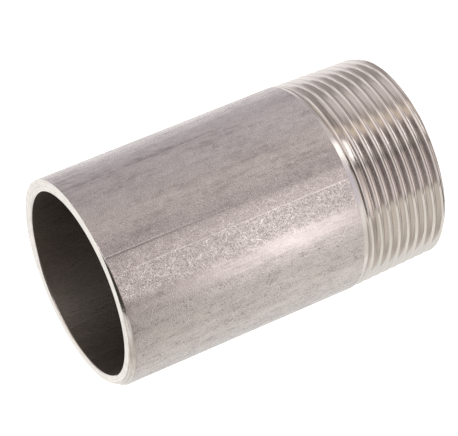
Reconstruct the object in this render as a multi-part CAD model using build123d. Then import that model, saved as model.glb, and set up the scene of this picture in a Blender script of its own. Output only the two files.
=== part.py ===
from build123d import *
from math import asin, cos, degrees, pi, radians, sin, sqrt, tan
import os

# A weld nipple: a length of longitudinally welded stainless pipe, one end cut with a
# taper pipe thread (R 1 1/2, 11 threads per inch), the other end bevelled for welding.
# Millimetres.  The pipe's axis is Z.  The origin is the centre of the threaded end's
# face, and the bevelled weld end is at the top.

# Pipe
OUTER_DIAMETER = 48.3
WALL_THICKNESS = 2.9
LENGTH = 80.0
BORE_EDGE_BREAK = 0.2

# Longitudinal seam, as azimuths about Z measured from +X
SEAM_CENTRE_ANGLE = -88.5
SEAM_SECTOR_ANGLE = 9.3

# Taper thread, Whitworth form
PITCH = 25.4 / 11
FLANK_ANGLE = 27.5
THREAD_DEPTH = 0.640327 * PITCH
ROUNDING_RADIUS = 0.137329 * PITCH
TAPER_PER_RADIUS = 1 / 32
CREST_RADIUS_AT_END = 23.44
CREST_TRUNCATION = 0.06

# Where the helix sits: groove height at azimuth 0, and the turns the cutter makes
FIRST_ROOT_HEIGHT = 0.993
LEAD_IN_TURNS = 1.0
LAST_TURN = 9.6

# Runout: the cone of the die's lead, on which the grooves fade out
RUNOUT_END = 22.1
RUNOUT_SLOPE = 0.36

# Turned zone around the thread
START_RIM_RADIUS = 22.6
SHOULDER_START = 21.7
SHOULDER_END = 22.0

# Weld end: a light bevel, cut slightly off the pipe's axis
BEVEL_ANGLE_FROM_FACE = 55.0
BEVEL_MEAN_WIDTH = 0.25
BEVEL_AXIS_OFFSET = 0.85

# Thread cutter
CREST_GAP_HALF_WIDTH = 0.06
CUTTER_OVERSIZE = 0.3
TURNS_PER_LOFT = 0.5
SECTIONS_PER_LOFT = 10

OUTER_RADIUS = OUTER_DIAMETER / 2
BORE_RADIUS = OUTER_RADIUS - WALL_THICKNESS


def crest_radius(height):
    """Radius of the full-form crest line at a height."""
    return CREST_RADIUS_AT_END + height * TAPER_PER_RADIUS


def blank_radius(height):
    """Radius of the cone turned before threading, just under the crest line."""
    return crest_radius(height) - CREST_TRUNCATION


def turned_blank():
    """The pipe after turning: bore, start chamfer, thread cone and shoulder."""
    chamfer_height = (blank_radius(0) - START_RIM_RADIUS) / (1 - TAPER_PER_RADIUS)
    outline = [
        (BORE_RADIUS + BORE_EDGE_BREAK, 0),
        (START_RIM_RADIUS, 0),
        (blank_radius(chamfer_height), chamfer_height),
        (blank_radius(SHOULDER_START), SHOULDER_START),
        (OUTER_RADIUS, SHOULDER_END),
        (OUTER_RADIUS, LENGTH),
        (BORE_RADIUS + BORE_EDGE_BREAK, LENGTH),
        (BORE_RADIUS, LENGTH - BORE_EDGE_BREAK),
        (BORE_RADIUS, BORE_EDGE_BREAK),
    ]
    section = Face(Wire.make_polygon([Vector(r, 0, z) for r, z in outline]))
    return Solid.revolve(section, 360, Axis.Z)


def groove_profile():
    """Half of the groove, root to crest: (axial distance, height above the root)."""
    flank = radians(FLANK_ANGLE)
    r = ROUNDING_RADIUS
    root_tangent = (r * cos(flank), r - r * sin(flank))
    crest_tangent = (PITCH / 2 - r * cos(flank), THREAD_DEPTH - r + r * sin(flank))
    rise = sqrt(r**2 - CREST_GAP_HALF_WIDTH**2)
    middle = (flank + asin(rise / r)) / 2
    crest_middle = (PITCH / 2 - r * cos(middle), THREAD_DEPTH - r + r * sin(middle))
    crest_end = (PITCH / 2 - CREST_GAP_HALF_WIDTH, THREAD_DEPTH - r + rise)
    return [root_tangent, crest_tangent, crest_middle, crest_end]


def runout_core():
    """The metal that the die's lead leaves standing under the last grooves."""
    low = RUNOUT_END - 8
    high = RUNOUT_END + 5

    def corner(height):
        radius = OUTER_RADIUS - RUNOUT_SLOPE * (RUNOUT_END - height)
        return Vector(radius, 0, height)

    outline = [Vector(0, 0, low), corner(low), corner(high), Vector(0, 0, high)]
    return Solid.revolve(Face(Wire.make_polygon(outline)), 360, Axis.Z)


def groove_section(turn):
    """The cutter's closed outline at one place on the helix."""
    azimuth = 2 * pi * turn
    height = FIRST_ROOT_HEIGHT + PITCH * turn
    root = crest_radius(height) - THREAD_DEPTH

    def place(axial, rise):
        radius = root + rise + axial * TAPER_PER_RADIUS
        return Vector(radius * cos(azimuth), radius * sin(azimuth), height + axial)

    half = groove_profile()
    outside = THREAD_DEPTH + CUTTER_OVERSIZE
    below = [place(-axial, rise) for axial, rise in half]
    above = [place(axial, rise) for axial, rise in half]
    outer_below = place(-half[3][0], outside)
    outer_above = place(half[3][0], outside)
    return Wire([
        Edge.make_line(outer_below, below[3]),
        Edge.make_three_point_arc(below[3], below[2], below[1]),
        Edge.make_line(below[1], below[0]),
        Edge.make_three_point_arc(below[0], place(0, 0), above[0]),
        Edge.make_line(above[0], above[1]),
        Edge.make_three_point_arc(above[1], above[2], above[3]),
        Edge.make_line(above[3], outer_above),
        Edge.make_line(outer_above, outer_below),
    ])


def thread_cutters():
    """The helical groove as a chain of half-turn lofts that meet end to end."""
    core = runout_core()
    cutters = []
    start = -LEAD_IN_TURNS
    while start < LAST_TURN - 1e-6:
        end = min(start + TURNS_PER_LOFT, LAST_TURN)
        step = (end - start) / SECTIONS_PER_LOFT
        turns = [start + step * i for i in range(SECTIONS_PER_LOFT + 1)]
        loft = Solid.make_loft([groove_section(turn) for turn in turns])
        top = FIRST_ROOT_HEIGHT + PITCH * (end + 0.5)
        reaches_core = top > RUNOUT_END - 7
        cutters += loft.cut(core).solids() if reaches_core else [loft]
        start = end
    return cutters


def bevel_cutter():
    """Ring outside the weld bevel, centred off the pipe's axis."""
    inner = OUTER_RADIUS - BEVEL_MEAN_WIDTH
    reach = 2 * (BEVEL_MEAN_WIDTH + BEVEL_AXIS_OFFSET)
    drop = reach * tan(radians(BEVEL_ANGLE_FROM_FACE))
    outline = [
        Vector(inner, 0, LENGTH),
        Vector(inner + reach, 0, LENGTH - drop),
        Vector(inner + reach, 0, LENGTH + 1),
        Vector(inner, 0, LENGTH + 1),
    ]
    ring = Solid.revolve(Face(Wire.make_polygon(outline)), 360, Axis.Z)
    return ring.moved(Location((BEVEL_AXIS_OFFSET, 0, 0)))


def seam_sector():
    """Wedge of space, through the wall, that holds the seam's weld metal."""
    half = radians(SEAM_SECTOR_ANGLE / 2)
    inner = BORE_RADIUS - 2
    outer = OUTER_RADIUS + 2
    corners = [
        Vector(inner, inner * tan(half), -1),
        Vector(inner, -inner * tan(half), -1),
        Vector(outer, -outer * tan(half), -1),
        Vector(outer, outer * tan(half), -1),
    ]
    wedge = Solid.extrude(Face(Wire.make_polygon(corners)), Vector(0, 0, LENGTH + 2))
    return wedge.rotate(Axis.Z, SEAM_CENTRE_ANGLE)


def machined_pipe():
    """The welded pipe after turning, threading and bevelling."""
    body = turned_blank().cut(bevel_cutter())
    return body.cut(*thread_cutters())


def only_solid(shape):
    """The one solid in a boolean's result."""
    solids = shape.solids()
    if len(solids) != 1:
        raise ValueError(f"expected one solid, got {len(solids)}")
    return solids[0]


def build():
    """The nipple's two pieces of metal, by node name."""
    pipe = only_solid(machined_pipe())
    sector = seam_sector()
    return {
        "pipe_wall": only_solid(pipe.cut(sector)),
        "seam_weld": only_solid(pipe.intersect(sector)),
    }


def main():
    os.makedirs("parts", exist_ok=True)
    for name, solid in build().items():
        solid.label = name
        export_step(solid, f"parts/{name}.step")
        print(name, "valid", solid.is_valid, "volume", round(solid.volume, 1))


main()
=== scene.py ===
import math
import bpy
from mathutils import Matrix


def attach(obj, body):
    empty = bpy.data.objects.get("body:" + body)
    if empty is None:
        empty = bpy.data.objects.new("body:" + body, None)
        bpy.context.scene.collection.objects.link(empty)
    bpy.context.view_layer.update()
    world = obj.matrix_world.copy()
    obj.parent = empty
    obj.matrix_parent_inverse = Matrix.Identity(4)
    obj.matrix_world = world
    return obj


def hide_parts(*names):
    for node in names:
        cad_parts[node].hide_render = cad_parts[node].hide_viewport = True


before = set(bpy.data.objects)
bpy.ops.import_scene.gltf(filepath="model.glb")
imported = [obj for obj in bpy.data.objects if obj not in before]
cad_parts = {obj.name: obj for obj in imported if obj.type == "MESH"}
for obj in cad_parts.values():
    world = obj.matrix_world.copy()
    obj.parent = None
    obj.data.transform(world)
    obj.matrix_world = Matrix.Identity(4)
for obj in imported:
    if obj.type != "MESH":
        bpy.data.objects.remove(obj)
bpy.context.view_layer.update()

from types import SimpleNamespace

import bmesh
import bpy
import numpy as np
from mathutils import Matrix, Vector

# The nipple stands on its threaded end at the frame's origin, with its axis along Z.
# Lengths are millimetres until a mesh is written.  Shapes use azimuths from +X in
# radians, and materials use azimuths from -Y, where the seam is, in degrees.
MM = 0.001
TAU = 2 * math.pi

# The pipe, as in the CAD part
OUTER_R = 24.15
BORE_R = 21.25
LENGTH = 80.0
EDGE_BREAK = 0.2
SEAM_START = math.radians(-88.5 - 4.65)
SEAM_END = math.radians(-88.5 + 4.65)

# The taper thread, as in the CAD part, with its roots worn by a trace
PITCH = 25.4 / 11
FLANK = math.radians(27.5)
DEPTH = 0.640327 * PITCH
ROUND_R = 0.137329 * PITCH
TAPER = 1 / 32
CREST_R = 23.44
TRUNCATION = 0.06
FIRST_ROOT = 0.993
START_RIM_R = 22.6
RUNOUT_END = 22.1
RUNOUT_SLOPE = 0.36
ROOT_WEAR = 0.012

# The weld bevel, as in the CAD part
BEVEL = math.radians(55)
BEVEL_R = OUTER_R - 0.25
BEVEL_OFFSET = 0.85
SHORTEST_BEVEL = 0.05

# The dressed seam stands a trace proud of the pipe, with its far edge blended in
# towards the thread
SEAM_HEIGHT = 0.02
SEAM_EDGE_WIDTH = 0.16
SEAM_FADE_WIDTH = 1.6
SEAM_CRISP_START = 38.0
SEAM_CRISP_LENGTH = 22.0

# Lines on the skin, as azimuths from -Y in degrees. The seam's edge line is whitened as a
# painted highlight, SEAM_SHADOW is a painted shadow line, and the line just beyond it is a
# painted highlight
SEAM_LINE = -3.15
SEAM_SHADOW = 6.0
SEAM_FAR_HIGHLIGHT = SEAM_SHADOW + 0.85
CREASE = 53.0

# Long marks on the skin: azimuth, height, lean from the axis, length and width
GOUGES = (
    (-11.5, 66.5, 28, 5.5, 0.13), (-13.0, 63.0, -52, 3.6, 0.12),
    (-9.0, 69.0, -24, 4.2, 0.12), (-14.5, 60.0, 61, 3.0, 0.11),
    (-7.0, 47.5, 40, 2.6, 0.10), (19.5, 35.0, -30, 1.8, 0.10),
    (24.0, 61.0, 12, 2.4, 0.09), (-52.0, 55.0, 70, 2.2, 0.10),
)
GOUGE_BEND = 0.03

# How finely the wall is drawn
COLUMN_STEP = math.radians(0.68)
FINE_STEP = math.radians(0.09)
FINE_REACH = math.radians(0.5)
ROOT_ROWS, FLANK_ROWS, CREST_ROWS = 5, 11, 4
SPARE_TURNS = 2
BODY_ROWS = 36
BORE_ROWS = 24
BODY_START = RUNOUT_END + 0.4
BODY_END = 78.0
END_START = 78.2
END_SKIN_TOP = 78.3
RIM_INSET = 0.3
ON_SURFACE = 0.01
ROUNDING_STEPS = 3
WELD_END_ROUNDING = 0.06
THREAD_END_ROUNDING = 0.08
MERGE_DISTANCE = 2e-7
SHARP_ANGLE = math.radians(24)

ZONES = ("turned", "skin", "end", "bore")


# ---------------------------------------------------------------- shape of the metal

def blank_radius(z):
    """The turned cone and its start chamfer, before threading."""
    return np.minimum(CREST_R - TRUNCATION + z * TAPER, START_RIM_R + z)


def runout_radius(z):
    """The cone left by the die's lead, where the grooves run out."""
    return OUTER_R - RUNOUT_SLOPE * (RUNOUT_END - z)


def groove_rise(u):
    """Height of the thread groove's side above its root, at axial distance u."""
    u = np.abs(u)
    root = ROUND_R - np.sqrt(np.maximum(ROUND_R**2 - u**2, 0))
    root_u = ROUND_R * math.cos(FLANK)
    root_v = ROUND_R - ROUND_R * math.sin(FLANK)
    flank = root_v + (u - root_u) / math.tan(FLANK)
    crest_u = PITCH / 2 - root_u
    inward = np.clip(PITCH / 2 - u, 0, ROUND_R)
    crest = DEPTH - ROUND_R + np.sqrt(ROUND_R**2 - inward**2)
    rise = np.where(u < root_u, root, np.where(u < crest_u, flank, crest))
    return np.maximum(rise, ROOT_WEAR)


def threaded_radius(azimuth, z):
    """Radius of the threaded end's outside."""
    turn = (z - FIRST_ROOT) / PITCH - azimuth / TAU
    centre_z = FIRST_ROOT + PITCH * (azimuth / TAU + np.round(turn))
    u = z - centre_z
    root = CREST_R + centre_z * TAPER - DEPTH
    groove = root + groove_rise(u) + u * TAPER
    return np.maximum(np.minimum(blank_radius(z), groove), runout_radius(z))


def thread_rows(azimuth):
    """Points up the threaded end in rows that follow the helix: (columns, rows, 2)."""
    half_flat = math.sqrt(ROUND_R**2 - (ROUND_R - TRUNCATION)**2)
    edge = PITCH / 2 - half_flat
    flank_start = ROUND_R * math.cos(FLANK)
    flank_end = PITCH / 2 - flank_start
    root = np.linspace(0, flank_start, ROOT_ROWS + 1)
    flank = np.linspace(flank_start, flank_end, FLANK_ROWS + 1)[1:]
    crest = np.linspace(flank_end, edge, CREST_ROWS + 1)[1:]
    side = np.concatenate([root, flank, crest])
    last_turn = math.ceil(RUNOUT_END / PITCH) + SPARE_TURNS
    heights = []
    for whole in range(-SPARE_TURNS, last_turn):
        centre = (FIRST_ROOT + PITCH * (azimuth / TAU + whole))[:, None]
        flat = centre + PITCH / 2
        heights += [centre - side[None, ::-1], centre + side[None, 1:], flat]
    z = np.clip(np.concatenate(heights, axis=1), 0, RUNOUT_END)
    radius = threaded_radius(azimuth[:, None], z)
    return np.stack([radius, z], axis=-1)


def bevel_top_radius(azimuth):
    """Where the bevel meets the end face, measured from the pipe's axis."""
    across = BEVEL_OFFSET * np.sin(azimuth)
    radius = BEVEL_OFFSET * np.cos(azimuth) + np.sqrt(BEVEL_R**2 - across**2)
    return np.minimum(radius, OUTER_R)


def bevel_foot(azimuth):
    """Height at which the bevel runs out on the pipe's outside."""
    x = OUTER_R * np.cos(azimuth) - BEVEL_OFFSET
    y = OUTER_R * np.sin(azimuth)
    drop = np.maximum(np.hypot(x, y) - BEVEL_R, 0) * math.tan(BEVEL)
    return LENGTH - drop


def path(columns, *points):
    """Stacks (radius, height) points, each a number or one per column."""
    full = [[np.broadcast_to(np.asarray(v, float), (columns,)) for v in p] for p in points]
    return np.stack([np.stack(p, axis=-1) for p in full], axis=1)


def toward(corner, neighbour, reach):
    """A point on the way from a corner to its neighbour, at most 40 % of the way."""
    way = neighbour - corner
    length = np.maximum(np.linalg.norm(way, axis=1, keepdims=True), 1e-6)
    return corner + way / length * np.minimum(reach, 0.4 * length)


def rounded(points, radius):
    """Rounds the inner corners of each column's polyline with small curves."""
    out = [points[:, :1]]
    for i in range(1, points.shape[1] - 1):
        corner = points[:, i]
        a = toward(corner, points[:, i - 1], radius)
        b = toward(corner, points[:, i + 1], radius)
        for t in np.linspace(0, 1, ROUNDING_STEPS + 1):
            curve = (1 - t)**2 * a + 2 * t * (1 - t) * corner + t * t * b
            out.append(curve[:, None])
    out.append(points[:, -1:])
    return np.concatenate(out, axis=1)


def straight(columns, start, end, count):
    """Evenly spaced points between two (radius, height) ends, ends left out."""
    steps = np.linspace(0, 1, count + 2)[1:-1]
    points = [
        (start[0] + (end[0] - start[0]) * t, start[1] + (end[1] - start[1]) * t)
        for t in steps
    ]
    return path(columns, *points)


def smooth(x):
    """Smooth step from 0 to 1 while x goes from 0 to 1."""
    x = np.clip(x, 0, 1)
    return x * x * (3 - 2 * x)


def seam_relief(azimuth, z):
    """Height of the dressed seam above the pipe: one crisp edge, one that fades in."""
    centre = (SEAM_START + SEAM_END) / 2
    half = (SEAM_END - SEAM_START) / 2
    offset = (azimuth - centre + math.pi) % TAU - math.pi
    from_start = (half + offset) * OUTER_R
    from_end = (half - offset) * OUTER_R
    first = smooth(from_start / SEAM_EDGE_WIDTH + 0.5)
    second = smooth(from_end / SEAM_EDGE_WIDTH + 0.5)
    blend = smooth(from_end / SEAM_FADE_WIDTH + 0.5)
    crisp = smooth((z - SEAM_CRISP_START) / SEAM_CRISP_LENGTH)
    return SEAM_HEIGHT * first * (blend + (second - blend) * crisp)


def body_rows(azimuth):
    """Points up the plain outside, from the runout to just below the bevel."""
    n = len(azimuth)
    rows = np.concatenate([
        path(n, (OUTER_R, RUNOUT_END + 0.03), (OUTER_R, RUNOUT_END + 0.3)),
        straight(n, (OUTER_R, BODY_START), (OUTER_R, BODY_END), BODY_ROWS),
    ], axis=1)
    rows[:, :, 0] += seam_relief(azimuth[:, None], rows[:, :, 1])
    return rows


def weld_end_rows(azimuth):
    """Points over the bevel and the land, and into the bore."""
    foot = bevel_foot(azimuth)
    bevelled = LENGTH - foot > SHORTEST_BEVEL
    rows = rounded(path(
        len(azimuth),
        (OUTER_R, END_START),
        (OUTER_R, np.where(bevelled, foot, LENGTH)),
        (np.where(bevelled, bevel_top_radius(azimuth), OUTER_R), LENGTH),
        (BORE_R + EDGE_BREAK, LENGTH),
        (BORE_R, LENGTH - EDGE_BREAK),
        (BORE_R, LENGTH - 3 * EDGE_BREAK),
    ), WELD_END_ROUNDING)
    rows[:, :2, 0] += seam_relief(azimuth[:, None], rows[:, :2, 1])
    return rows


def bore_rows(azimuth):
    """Points down the bore and over the threaded end's face."""
    n = len(azimuth)
    top = LENGTH - 4 * EDGE_BREAK
    bottom = rounded(path(
        n,
        (BORE_R, EDGE_BREAK * 3),
        (BORE_R, EDGE_BREAK),
        (BORE_R + EDGE_BREAK, 0.0),
        (START_RIM_R - RIM_INSET, 0.0),
    ), THREAD_END_ROUNDING)
    down = straight(n, (BORE_R, top), (BORE_R, EDGE_BREAK * 4), BORE_ROWS)
    return np.concatenate([down, bottom], axis=1)


def outline(azimuth):
    """The closed outline of the wall at each azimuth, and each row's zone."""
    stretches = (
        ("turned", thread_rows(azimuth)),
        ("skin", body_rows(azimuth)),
        ("end", weld_end_rows(azimuth)),
        ("bore", bore_rows(azimuth)),
    )
    zones = []
    for zone, rows in stretches:
        zones += [zone] * rows.shape[1]
    return np.concatenate([rows for _, rows in stretches], axis=1), zones


# ---------------------------------------------------------------- meshes

def row_materials(points, zones):
    """Material index of the band between each row and the next."""
    index = []
    for i, zone in enumerate(zones):
        if zone == "end":
            radius, height = points[:, i].mean(axis=0)
            if radius > OUTER_R - ON_SURFACE and height < END_SKIN_TOP:
                zone = "skin"
            elif radius < BORE_R + ON_SURFACE:
                zone = "bore"
        index.append(ZONES.index(zone))
    return index


def columns_between(start, end):
    """Azimuths from start to end, closer together beside each end."""
    fine = int(round(FINE_REACH / FINE_STEP))
    middle = int(math.ceil((end - start - 2 * FINE_REACH) / COLUMN_STEP))
    return np.concatenate([
        np.linspace(start, start + FINE_REACH, fine + 1)[:-1],
        np.linspace(start + FINE_REACH, end - FINE_REACH, middle + 1),
        np.linspace(end - FINE_REACH, end, fine + 1)[1:],
    ])


def wall_faces(columns, rows, band_slots):
    """Faces between the columns and over both cut sides, and their material slots."""
    faces = []
    slots = []
    for column in range(columns):
        a = column * rows
        b = a + rows
        for row in range(rows):
            above = (row + 1) % rows
            faces.append((a + row, b + row, b + above, a + above))
            slots.append(band_slots[row])
    faces.append(tuple(range(rows)))
    faces.append(tuple(reversed(range(columns * rows, (columns + 1) * rows))))
    slots += [0, 0]
    return faces, slots


def wall_mesh(name, start, end, materials):
    """A closed stretch of the pipe's wall between two azimuths."""
    azimuth = columns_between(start, end)
    points, zones = outline(azimuth)
    x = points[:, :, 0] * np.cos(azimuth)[:, None]
    y = points[:, :, 0] * np.sin(azimuth)[:, None]
    vertices = np.stack([x, y, points[:, :, 1]], axis=-1).reshape(-1, 3) * MM
    faces, slots = wall_faces(len(azimuth) - 1, len(zones), row_materials(points, zones))
    mesh = bpy.data.meshes.new(name)
    mesh.from_pydata(vertices.tolist(), [], faces)
    mesh.polygons.foreach_set("material_index", slots)
    for material in materials:
        mesh.materials.append(material)
    clean(mesh)
    piece = bpy.data.objects.new(name, mesh)
    bpy.context.scene.collection.objects.link(piece)
    return piece


def clean(mesh):
    """Merges collapsed rows, turns faces outward and keeps real edges sharp."""
    work = bmesh.new()
    work.from_mesh(mesh)
    bmesh.ops.remove_doubles(work, verts=work.verts, dist=MERGE_DISTANCE)
    bmesh.ops.recalc_face_normals(work, faces=work.faces)
    work.to_mesh(mesh)
    work.free()
    mesh.shade_smooth()
    mesh.set_sharp_from_angle(angle=SHARP_ANGLE)


# ---------------------------------------------------------------- node helpers

class Graph:
    """Short calls for building a node tree."""

    def __init__(self, tree):
        self.tree = tree

    def node(self, kind, settings=(), **inputs):
        node = self.tree.nodes.new(kind)
        for key, value in dict(settings).items():
            setattr(node, key, value)
        for key, value in inputs.items():
            self.put(node.inputs[key], value)
        return node

    def put(self, socket, value):
        if isinstance(value, bpy.types.NodeSocket):
            self.tree.links.new(value, socket)
        else:
            socket.default_value = value

    def put_all(self, sockets, values):
        for socket, value in zip(sockets, values):
            self.put(socket, value)

    def math(self, operation, *values):
        node = self.node("ShaderNodeMath", {"operation": operation})
        self.put_all(node.inputs, values)
        return node.outputs[0]

    def times(self, *values):
        product = values[0]
        for value in values[1:]:
            product = self.math("MULTIPLY", product, value)
        return product

    def map(self, value, low, high, to_low=0.0, to_high=1.0, kind="SMOOTHSTEP"):
        node = self.node("ShaderNodeMapRange", {"interpolation_type": kind})
        names = ("Value", "From Min", "From Max", "To Min", "To Max")
        sockets = [node.inputs[name] for name in names]
        self.put_all(sockets, (value, low, high, to_low, to_high))
        return node.outputs[0]

    def noise(self, vector, scale, detail=0.0, rough=0.5):
        node = self.node("ShaderNodeTexNoise", {"noise_dimensions": "3D"}, Vector=vector)
        node.inputs["Scale"].default_value = scale
        node.inputs["Detail"].default_value = detail
        node.inputs["Roughness"].default_value = rough
        return node.outputs["Fac"]

    def vector(self, x, y, z):
        node = self.node("ShaderNodeCombineXYZ")
        self.put_all(node.inputs, (x, y, z))
        return node.outputs[0]

    def mix(self, factor, a, b):
        node = self.node("ShaderNodeMix", {"data_type": "RGBA"}, Factor=factor)
        self.put(node.inputs[6], a)
        self.put(node.inputs[7], b)
        return node.outputs[2]

    def shade(self, colour, factors):
        node = self.node("ShaderNodeVectorMath", {"operation": "MULTIPLY"})
        self.put_all(node.inputs, (colour, factors))
        return node.outputs[0]

    def ramp(self, value, stops):
        node = self.node("ShaderNodeValToRGB", Fac=value)
        elements = node.color_ramp.elements
        while len(elements) < len(stops):
            elements.new(0.5)
        for element, (place, colour) in zip(elements, stops):
            element.position = place
            element.color = (*colour, 1.0)
        return node.outputs["Color"]

    def bump(self, height, strength, distance):
        node = self.node("ShaderNodeBump", Height=height)
        node.inputs["Strength"].default_value = strength
        node.inputs["Distance"].default_value = distance
        return node.outputs[0]


def pipe_coordinates(g):
    """Places on the pipe, in millimetres, and the angle about its axis from -Y."""
    position = g.node("ShaderNodeTexCoord").outputs["Object"]
    parts = g.node("ShaderNodeSeparateXYZ", Vector=position)
    x, y, height = [g.times(part, 1000.0) for part in parts.outputs]
    around = g.math("ARCTAN2", x, g.times(y, -1.0))
    square = g.math("ADD", g.times(x, x), g.times(y, y))
    return SimpleNamespace(
        x=x, y=y, height=height,
        radius=g.math("SQRT", square),
        around=around,
        degrees=g.times(around, 180 / math.pi),
        arc=g.times(around, OUTER_R),
        whole=g.vector(x, y, height),
    )


def drawn_out(g, at, factor):
    """Coordinates squeezed along the pipe, so that a noise runs along it."""
    return g.vector(at.x, at.y, g.times(at.height, factor))


def tilted(g, along_pipe, across_pipe, tilt):
    """Distances along and across a line that leans from the pipe's axis."""
    cos, sin = math.cos(math.radians(tilt)), math.sin(math.radians(tilt))
    along = g.math("ADD", g.times(along_pipe, cos), g.times(across_pipe, sin))
    across = g.math("SUBTRACT", g.times(across_pipe, cos), g.times(along_pipe, sin))
    return along, across


def scratches(g, at, tilts, scale, stretch, low, high):
    """Thin straight marks at several angles, laid over each other."""
    field = None
    for tilt in tilts:
        along, across = tilted(g, at.height, at.arc, tilt)
        place = g.vector(g.times(along, 1 / stretch), across, tilt)
        one = g.map(g.noise(place, scale), low, high)
        field = one if field is None else g.math("MAXIMUM", field, one)
    return field


def gouge(g, at, degrees, z, tilt, length, width):
    """One long mark, slightly bent, centred at an azimuth and a height."""
    a = g.math("SUBTRACT", at.arc, math.radians(degrees) * OUTER_R)
    h = g.math("SUBTRACT", at.height, z)
    along, across = tilted(g, h, a, tilt)
    bend = g.times(along, along, GOUGE_BEND)
    across = g.math("ABSOLUTE", g.math("ADD", across, bend))
    ends = g.map(g.math("ABSOLUTE", along), length * 0.25, length * 0.5, 1, 0)
    return g.times(ends, g.map(across, width * 0.3, width, 1, 0))


def band(g, value, rise_start, rise_end, fall_start, fall_end):
    """1 between two values, with soft edges."""
    return g.times(
        g.map(value, rise_start, rise_end),
        g.map(value, fall_start, fall_end, 1, 0),
    )


def near(g, value, centre, inner, outer, peak):
    """A peak round one value that is flat to the inner distance and 0 at the outer."""
    distance = g.math("ABSOLUTE", g.math("SUBTRACT", value, centre))
    return g.map(distance, inner, outer, peak, 0)


def weighted(g, *pairs):
    """Sum of values, each times a weight that is a number or a socket."""
    total = None
    for value, weight in pairs:
        one = g.times(value, weight)
        total = one if total is None else g.math("ADD", total, one)
    return total


# ---------------------------------------------------------------- materials

def new_material(name):
    """A metal's node material: itself, its shader, its graph and its coordinates."""
    material = bpy.data.materials.new(name)
    material.use_nodes = True
    shader = material.node_tree.nodes["Principled BSDF"]
    shader.inputs["Metallic"].default_value = 1.0
    g = Graph(material.node_tree)
    return material, shader, g, pipe_coordinates(g)


def skin_zones(g, at):
    """Bands of azimuth: dressed skin, the seam, a glossy strip fading out towards the weld
    end, and coarse skin; the dressed band and the glossy strip also carry the lighter tint
    of a painted highlight.
    """
    glossy = band(g, at.degrees, -28, -24.5, -20, -14)
    return SimpleNamespace(
        dressed_and_highlight=band(g, at.degrees, -20, -14, -3.3, -2.9),
        seam=band(g, at.degrees, -3.2, -3.0, 2, 7),
        glossy=g.times(glossy, g.map(at.height, 52, 76, 1, 0)),
        coarse=band(g, at.degrees, -92, -75, -31, -26),
    )


def skin_texture(g, at, zone):
    """Noises from wide clouds to fine grain, and dark specks in patches."""
    short = drawn_out(g, at, 0.5)
    drawn = drawn_out(g, at, 0.045)
    specks = g.map(g.noise(at.whole, 1.6, 2.0, 0.75), 0.57, 0.66)
    patches = g.map(g.noise(at.whole, 0.3, 2.0), 0.42, 0.58, 0.3, 1.0)
    share = weighted(g, (zone.coarse, 0.85), (zone.dressed_and_highlight, 0.5), (1.0, 0.15))
    return SimpleNamespace(
        cloud=g.map(g.noise(short, 0.16, 3.0, 0.6), 0.35, 0.65),
        mottle=g.map(g.noise(short, 0.75, 4.0, 0.66), 0.34, 0.66),
        grain=g.map(g.noise(at.whole, 3.4, 2.0, 0.75), 0.35, 0.65),
        streaks=g.map(g.noise(drawn, 0.8, 4.0, 0.7), 0.34, 0.66),
        specks=g.times(specks, patches, share),
    )


def skin_marks(g, at, zone):
    """Light scratches with a few gouges, and dark scratches."""
    short = scratches(g, at, (8, 37, 63, -28, -57, 84), 3.6, 5.0, 0.66, 0.78)
    long = scratches(g, at, (14, 41, -33, 66), 2.3, 12.0, 0.70, 0.78)
    dark = scratches(g, at, (21, -12, 74, -43), 4.4, 3.5, 0.65, 0.77)
    patchy = g.map(g.noise(at.whole, 0.45, 3.0, 0.65), 0.38, 0.60, 0.25, 1.0)
    scratched = g.math("ADD", g.times(zone.seam, 0.5), zone.dressed_and_highlight)
    light = g.times(g.math("MAXIMUM", short, long), patchy)
    light = g.times(light, g.math("ADD", scratched, 0.07))
    dark = g.times(dark, g.math("ADD", scratched, 0.05))
    for place in GOUGES:
        light = g.math("MAXIMUM", light, gouge(g, at, *place))
    return light, dark


def seam_lines(g, at, streaks):
    """The seam's edge line, whitened as a painted highlight, and at its other edge a
    painted shadow line with a painted highlight line beyond it.
    """
    broken = g.map(streaks, 0.0, 0.6, 0.55, 1.0)
    trace = g.times(g.map(at.height, 46, 76, 0.12, 1.0), broken)
    # The edge line is whitened in colour: a painted highlight along the seam's small step
    edge = near(g, at.degrees, SEAM_LINE, 0.16, 0.34, 1)
    # A painted shadow line and a painted highlight line beyond it, both stronger towards
    # the weld end
    shadow = near(g, at.degrees, SEAM_SHADOW, 0.15, 0.5, 0.6)
    far_edge_highlight = near(g, at.degrees, SEAM_FAR_HIGHLIGHT, 0.1, 0.4, 0.6)
    return g.times(edge, broken), g.times(shadow, trace), g.times(far_edge_highlight, trace)


def skin_tone(g, at, zone, texture):
    """How light the bare skin is, from 0 to 1."""
    grain_share = g.math("ADD", g.times(zone.coarse, 0.12), 0.26)
    return weighted(
        g, (texture.grain, grain_share), (texture.mottle, 0.24), (texture.streaks, 0.22),
        (texture.cloud, 0.18), (texture.specks, -0.62),
        (near(g, at.degrees, CREASE, 0.4, 1.6, 0.16), -1.0),
    )


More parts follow.
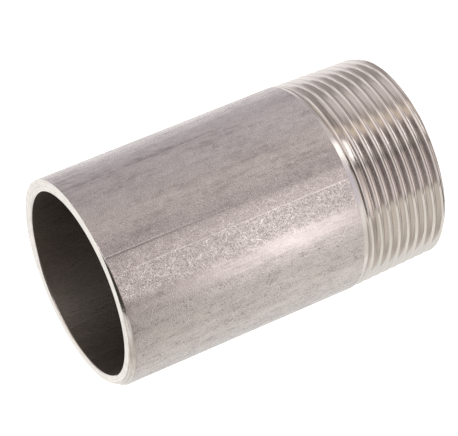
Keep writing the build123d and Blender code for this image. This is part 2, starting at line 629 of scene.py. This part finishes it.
def skin_material(name):
    """Mill finish of the pipe: mottled, drawn lengthwise, dressed beside the seam, with
    painted highlights beside the seam and along its edge lines, and a painted shadow line.
    """
    material, shader, g, at = new_material(name)
    zone = skin_zones(g, at)
    texture = skin_texture(g, at, zone)
    light, dark = skin_marks(g, at, zone)
    edge, shadow, far_edge_highlight = seam_lines(g, at, texture.streaks)
    tone = skin_tone(g, at, zone, texture)

    colour = g.ramp(tone, [
        (0.08, (0.38, 0.355, 0.36)),
        (0.35, (0.575, 0.55, 0.555)),
        (0.62, (0.645, 0.62, 0.625)),
        (0.95, (0.74, 0.715, 0.72)),
    ])
    for place, amount, tint in (
        # The dressed band and the glossy strip are lightened where the soft box's
        # highlight falls: painted highlight on top of their real scratching and smoothness
        (zone.dressed_and_highlight, 0.4, (0.82, 0.79, 0.79)),
        (zone.seam, 0.55, (0.76, 0.72, 0.72)),
        (zone.glossy, 0.25, (0.68, 0.65, 0.65)),
        (light, 0.85, (1.0, 0.97, 0.97)),
        (dark, 0.55, (0.34, 0.31, 0.31)),
        # Painted highlight on the seam's edge line, painted shadow at its other edge and a
        # painted highlight line beyond that
        (edge, 1.0, (1.0, 0.97, 0.96)),
        (shadow, 1.0, (0.22, 0.19, 0.19)),
        (far_edge_highlight, 1.0, (0.92, 0.88, 0.88)),
    ):
        colour = g.mix(g.times(place, amount), colour, (*tint, 1.0))
    g.put(shader.inputs["Base Color"], colour)

    rough = weighted(
        g, (g.map(tone, 0.2, 0.8, 0.30, 0.22), 1.0), (zone.glossy, -0.05), (edge, 0.12),
    )
    g.put(shader.inputs["Roughness"], rough)

    step = g.map(at.degrees, SEAM_LINE - 0.35, SEAM_LINE + 0.25)
    grain_share = g.math("ADD", g.times(zone.dressed_and_highlight, 0.5), 0.4)
    relief = weighted(
        g, (texture.grain, grain_share), (texture.streaks, 0.5), (texture.mottle, 0.45),
        (light, 1.4), (dark, -1.2), (texture.specks, -0.5), (step, 3.6),
    )
    quiet = g.math("SUBTRACT", 1.0, g.times(zone.glossy, 0.3))
    g.put(shader.inputs["Normal"], g.bump(g.times(relief, quiet), 0.6, 0.00006))
    return material


def turned_material(name):
    """Bright turned metal with fine rings round the axis."""
    material, shader, g, at = new_material(name)
    place = g.vector(g.times(at.x, 0.02), at.height, at.radius)
    rings = g.noise(place, 5.0, 3.0, 0.7)
    chatter = g.noise(at.whole, 1.1, 3.0, 0.6)
    colour = g.ramp(rings, [
        (0.3, (0.66, 0.64, 0.62)),
        (0.7, (0.78, 0.755, 0.735)),
    ])
    g.put(shader.inputs["Base Color"], colour)
    g.put(shader.inputs["Roughness"], g.map(chatter, 0.3, 0.7, 0.06, 0.11))
    g.put(shader.inputs["Normal"], g.bump(rings, 0.25, 0.00005))
    return material


def end_material(name):
    """Faced end: rings about the axis on the land and the bevel."""
    material, shader, g, at = new_material(name)
    place = g.vector(g.times(at.x, 0.06), at.height, at.radius)
    rings = g.noise(place, 4.0, 3.0, 0.75)
    wear = g.map(g.noise(at.whole, 0.5, 3.0, 0.6), 0.35, 0.65)
    tone = weighted(g, (g.map(rings, 0.35, 0.65), 0.75), (wear, 0.25))
    colour = g.ramp(tone, [
        (0.1, (0.55, 0.525, 0.50)),
        (0.5, (0.69, 0.67, 0.645)),
        (0.9, (0.80, 0.78, 0.76)),
    ])
    g.put(shader.inputs["Base Color"], colour)
    g.put(shader.inputs["Roughness"], g.map(tone, 0.2, 0.8, 0.16, 0.09))
    g.put(shader.inputs["Normal"], g.bump(rings, 0.5, 0.00006))
    return material


def bore_material(name):
    """Dull inside of the pipe with faint streaks along its axis, coloured much darker than
    the outside as painted shade.
    """
    material, shader, g, at = new_material(name)
    streaks = g.noise(drawn_out(g, at, 0.06), 1.0, 4.0, 0.65)
    grain = g.noise(drawn_out(g, at, 0.5), 2.5, 3.0, 0.6)
    tone = weighted(g, (streaks, 0.7), (grain, 0.3))
    # Tones far darker than the outside's: painted shade inside the pipe
    colour = g.ramp(tone, [
        (0.35, (0.26, 0.235, 0.215)),
        (0.65, (0.44, 0.405, 0.375)),
    ])
    g.put(shader.inputs["Base Color"], colour)
    g.put(shader.inputs["Roughness"], g.map(tone, 0.35, 0.65, 0.5, 0.36))
    g.put(shader.inputs["Normal"], g.bump(tone, 0.4, 0.0002))
    return material


# ---------------------------------------------------------------- stage

# The studio is described about the pipe's axis: how far a direction is turned from
# SKY_UP towards SKY_SIDE, and how far it is tilted up towards the weld end.
SKY_UP = Vector((0.651, -0.759, 0.0))
SKY_SIDE = Vector((-0.759, -0.651, 0.0))
GROUND = (0.97, 0.91, 0.835)
NEAR_GROUND = (0.86, 0.80, 0.73)
FAR_GROUND = (0.90, 0.87, 0.83)
PAPER = (1.16, 1.13, 1.09)
LAMP = (2.4, 2.3, 2.3, 1.0)
FLOOR_HALF_WIDTH = 6.0

# The bounce card is a strip of a cylinder, from one azimuth from -Y to another
CARD_FROM = -125
CARD_TO = 15
CARD_RADIUS = 64.0
CARD_BOTTOM = 2.0
CARD_TOP = 64.0
CARD_COLUMNS = 48
CARD_STRENGTH = 0.95
CARD_COLOUR = (1.0, 0.94, 0.92, 1.0)

# The camera looks down on the weld end from the seam's side, and is rolled so that
# the pipe lies aslant
CAMERA_ELEVATION = math.radians(20.684)
CAMERA_ROLL = math.radians(-112.487)
CAMERA_DISTANCE = 579.47
CAMERA_TARGET = Vector((0.656, 0.0, 41.841))
CAMERA_LENS = 206.89
CAMERA_SENSOR = 36.0


def stops_by_angle(start, end, tones):
    """Ramp stops from (degrees, tone) pairs, where a tone is a colour or a grey."""
    stops = []
    for angle, tone in tones:
        colour = tone if isinstance(tone, tuple) else (tone, tone, tone)
        stops.append(((angle - start) / (end - start), colour))
    return stops


def sky_coordinates(g):
    """Turn and tilt of a direction in degrees, and the turn as a place on a ramp."""
    direction = g.node("ShaderNodeTexCoord").outputs["Generated"]
    parts = g.node("ShaderNodeSeparateXYZ", Vector=direction)
    reach = []
    for axis in (SKY_SIDE, SKY_UP):
        node = g.node("ShaderNodeVectorMath", {"operation": "DOT_PRODUCT"})
        g.put_all(node.inputs, (direction, axis))
        reach.append(node.outputs["Value"])
    angle = g.math("ARCTAN2", *reach)
    return SimpleNamespace(
        turn=g.times(angle, 180 / math.pi),
        tilt=g.times(g.math("ARCSINE", parts.outputs[2]), 180 / math.pi),
        place=g.math("ADD", g.math("DIVIDE", angle, TAU), 0.5),
    )


def sky_ramp(g, sky, *tones):
    """Tones by turn, each given as (degrees, tone)."""
    return g.ramp(sky.place, stops_by_angle(-180, 180, tones))


def level_light(g, sky):
    """What surrounds the pipe at its sides: pale ground, grey room and bright strips."""
    return sky_ramp(
        g, sky,
        (-180, FAR_GROUND),
        (-160, (0.92, 0.90, 0.87)),
        (-148, PAPER),
        (-125, PAPER),
        (-112, (1.12, 1.08, 1.07)),
        (-100, (0.88, 0.83, 0.82)),
        (-88, (0.64, 0.59, 0.59)),
        (-62, (0.53, 0.48, 0.48)),
        (-38, (0.52, 0.468, 0.45)),
        (-24, (0.43, 0.385, 0.36)),
        (-11, (0.44, 0.39, 0.365)),
        (-6.5, (0.95, 0.81, 0.60)),
        (-2, (0.95, 0.81, 0.62)),
        (2, (0.68, 0.58, 0.54)),
        (5, (0.66, 0.56, 0.53)),
        (8.5, (0.25, 0.20, 0.19)),
        (21, (0.23, 0.19, 0.185)),
        (27, (0.34, 0.295, 0.26)),
        (37, (0.32, 0.28, 0.25)),
        (39, (0.15, 0.125, 0.115)),
        (42, (0.15, 0.125, 0.115)),
        (45, (0.49, 0.415, 0.39)),
        (88, (0.50, 0.425, 0.40)),
        (91, (0.32, 0.265, 0.24)),
        (94.5, (0.31, 0.255, 0.23)),
        (96.5, NEAR_GROUND),
        (122, NEAR_GROUND),
        (150, GROUND),
        (180, FAR_GROUND),
    )


def skin_light(g, sky, level):
    """The side light as the plain skin mirrors it, darker towards the weld end."""
    factors = sky_ramp(
        g, sky,
        (-62, 1.0),
        (-15, (1.0, 1.0, 1.02)),
        (-6, (0.96, 0.99, 1.14)),
        (5, (0.96, 0.99, 1.08)),
        (9, 1.0),
        (46, 1.06),
        (60, 1.20),
        (84, 1.16),
        (96, 0.98),
        (104, 0.78),
        (112, 0.74),
        (132, 0.86),
        (152, 0.95),
        (170, 1.0),
    )
    near_end = g.shade(level, factors)
    far_end = g.shade(near_end, (0.76, 0.74, 0.74))
    share = g.times(band(g, sky.turn, 40, 60, 150, 175), g.map(sky.tilt, -22.5, -17))
    return g.mix(share, near_end, far_end)


def crest_light(g, sky, level):
    """The side light as the thread's crests mirror it."""
    factor = g.map(sky.turn, 94, 98, 1.0, 1.14)
    return g.shade(level, g.vector(factor, factor, factor))


def flank_light(g, sky, level):
    """The side light as the thread's flanks mirror it, dark on the seam's side."""
    factors = sky_ramp(
        g, sky,
        (-60, 0.92),
        (-13, 0.92),
        (-6, 1.30),
        (-1, 1.30),
        (4, 0.90),
        (40, 0.90),
        (45, (0.44, 0.42, 0.46)),
        (90, (0.42, 0.40, 0.44)),
        (96.5, 0.86),
        (180, 0.88),
    )
    return g.shade(level, factors)


def soft_box(g, sky):
    """Where a long soft box below the pipe's sides is, and its tones."""
    reach = band(g, sky.turn, -75, -55, 90, 94)
    height = band(g, sky.tilt, -40, -36, -26, -22)
    tones = sky_ramp(
        g, sky,
        (-60, (1.12, 1.04, 1.04)),
        (-32, (1.02, 0.94, 0.93)),
        (-13, (0.84, 0.76, 0.73)),
        (-6, (1.15, 1.04, 0.98)),
        (37, (1.10, 1.00, 0.98)),
        (44, (0.88, 0.79, 0.77)),
        (92, (0.88, 0.79, 0.77)),
    )
    return g.times(reach, height), tones


def steep_light(g, sky):
    """What lies far down, beyond the threaded end."""
    return sky_ramp(
        g, sky,
        (-180, PAPER),
        (-60, (0.85, 0.79, 0.79)),
        (-14, (0.70, 0.64, 0.64)),
        (-9, (1.6, 1.5, 1.45)),
        (9, (1.6, 1.5, 1.45)),
        (22, (0.95, 0.88, 0.87)),
        (45, (0.70, 0.65, 0.70)),
        (90, (0.80, 0.74, 0.78)),
        (98, (1.0, 0.95, 0.90)),
        (180, PAPER),
    )


def high_light(g, sky):
    """What lies high up, beyond the weld end: paper, and a dark gap."""
    return sky_ramp(
        g, sky,
        (-180, PAPER),
        (-90, PAPER),
        (-60, (0.75, 0.66, 0.56)),
        (-5, (0.80, 0.70, 0.69)),
        (18, (0.80, 0.70, 0.69)),
        (25, (0.05, 0.045, 0.04)),
        (102, (0.05, 0.045, 0.04)),
        (107, (1.0, 0.96, 0.92)),
        (180, PAPER),
    )


def studio_world():
    """Soft surroundings: a pale ground, a grey room, a soft box and a lamp."""
    world = bpy.data.worlds.new("studio")
    bpy.context.scene.world = world
    world.use_nodes = True
    g = Graph(world.node_tree)
    sky = sky_coordinates(g)
    level = level_light(g, sky)
    skin = skin_light(g, sky, level)
    colour = g.mix(g.map(sky.tilt, -26, -24), crest_light(g, sky, level), skin)
    below = g.map(sky.tilt, -43, -40, 1, 0)
    colour = g.mix(below, colour, flank_light(g, sky, level))
    box, tones = soft_box(g, sky)
    colour = g.mix(box, colour, tones)
    lamp = g.times(band(g, sky.turn, 4, 12, 28, 38), g.map(sky.tilt, -3, 6))
    colour = g.mix(lamp, colour, LAMP)
    colour = g.mix(g.map(sky.tilt, -56, -50, 1, 0), colour, steep_light(g, sky))
    colour = g.mix(g.map(sky.tilt, 33, 38), colour, high_light(g, sky))
    background = world.node_tree.nodes["Background"]
    g.put(background.inputs["Color"], colour)
    background.inputs["Strength"].default_value = 1.0


def stage_piece(name, mesh, material):
    """An object for the stage, which is no part of the nipple."""
    mesh.materials.append(material)
    piece = bpy.data.objects.new(name, mesh)
    bpy.context.scene.collection.objects.link(piece)
    return piece


def floor():
    """A wide pale floor under the threaded end, with no edge in sight."""
    mesh = bpy.data.meshes.new("floor")
    work = bmesh.new()
    bmesh.ops.create_grid(work, x_segments=8, y_segments=8, size=FLOOR_HALF_WIDTH)
    work.to_mesh(mesh)
    work.free()
    material = bpy.data.materials.new("pale_floor")
    material.use_nodes = True
    shader = material.node_tree.nodes["Principled BSDF"]
    for socket, value in (
        ("Base Color", (0.9, 0.9, 0.9, 1.0)),
        ("Roughness", 0.9),
        ("Specular IOR Level", 0.0),
        ("Emission Color", (1.0, 1.0, 1.0, 1.0)),
        ("Emission Strength", 0.95),
    ):
        shader.inputs[socket].default_value = value
    stage_piece("floor", mesh, material).visible_glossy = False


def card_glow():
    """Light that adds to what is behind it, fading towards the card's edges."""
    material = bpy.data.materials.new("card_glow")
    material.use_nodes = True
    material.node_tree.nodes.clear()
    g = Graph(material.node_tree)
    at = pipe_coordinates(g)
    start, end = math.radians(CARD_FROM), math.radians(CARD_TO)
    place = g.map(at.around, start, end, 0, 1, "LINEAR")
    glow = g.ramp(place, stops_by_angle(CARD_FROM, CARD_TO, (
        (CARD_FROM, 0.0),
        (-95, 0.10),
        (-58, 0.14),
        (-50, 0.22),
        (-43, 1.0),
        (-29, 1.0),
        (-18, 0.65),
        (-7, 0.45),
        (6, 0.0),
    )))
    fade = g.times(g.map(at.height, 2, 8), g.map(at.height, 28, 62, 1, 0, "LINEAR"))
    emission = g.node("ShaderNodeEmission", Strength=g.times(glow, fade, CARD_STRENGTH))
    emission.inputs["Color"].default_value = CARD_COLOUR
    both = g.node("ShaderNodeAddShader")
    clear = g.node("ShaderNodeBsdfTransparent")
    g.put_all(both.inputs, (emission.outputs[0], clear.outputs[0]))
    g.node("ShaderNodeOutputMaterial", Surface=both.outputs[0])
    return material


def bounce_card():
    """A curved card beside the threaded end that brightens the seam's side."""
    # The card's azimuths are from -Y, a quarter turn behind +X
    azimuth = np.radians(np.linspace(CARD_FROM - 90, CARD_TO - 90, CARD_COLUMNS + 1))
    vertices = [
        (CARD_RADIUS * math.cos(a) * MM, CARD_RADIUS * math.sin(a) * MM, z * MM)
        for z in (CARD_BOTTOM, CARD_TOP) for a in azimuth
    ]
    above = CARD_COLUMNS + 1
    faces = [(i, i + 1, i + 1 + above, i + above) for i in range(CARD_COLUMNS)]
    mesh = bpy.data.meshes.new("bounce_card")
    mesh.from_pydata(vertices, [], faces)
    stage_piece("bounce_card", mesh, card_glow()).visible_camera = False


def camera():
    """The camera, aimed and rolled as named above."""
    cos, sin = math.cos(CAMERA_ELEVATION), math.sin(CAMERA_ELEVATION)
    forward = Vector((0, cos, -sin))
    level = Vector((1, 0, 0))
    upward = Vector((0, sin, cos))
    cos, sin = math.cos(CAMERA_ROLL), math.sin(CAMERA_ROLL)
    right = cos * level + sin * upward
    top = -sin * level + cos * upward
    data = bpy.data.cameras.new("camera")
    data.sensor_fit = "HORIZONTAL"
    data.sensor_width = CAMERA_SENSOR
    data.lens = CAMERA_LENS
    data.clip_start = 0.01
    data.clip_end = 100.0
    eye = bpy.data.objects.new("camera", data)
    turn = Matrix((right, top, -forward)).transposed().to_4x4()
    place = (CAMERA_TARGET - forward * CAMERA_DISTANCE) * MM
    eye.matrix_world = Matrix.Translation(place) @ turn
    bpy.context.scene.collection.objects.link(eye)
    bpy.context.scene.camera = eye


# ---------------------------------------------------------------- assembly

def nipple():
    """The two pieces of metal, each standing for its CAD node."""
    materials = (
        turned_material("turned_steel"),
        skin_material("mill_steel"),
        end_material("faced_steel"),
        bore_material("bore_steel"),
    )
    for node, start, end, slot in (
        ("pipe_wall", SEAM_END, SEAM_START + TAU, "pipe_steel"),
        ("seam_weld", SEAM_START, SEAM_END, "weld_metal"),
    ):
        piece = wall_mesh(node + "_visual", start, end, materials)
        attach(piece, "root")
        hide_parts(node)


nipple()
floor()
bounce_card()
studio_world()
camera()
bpy.context.scene.view_settings.view_transform = "Standard"
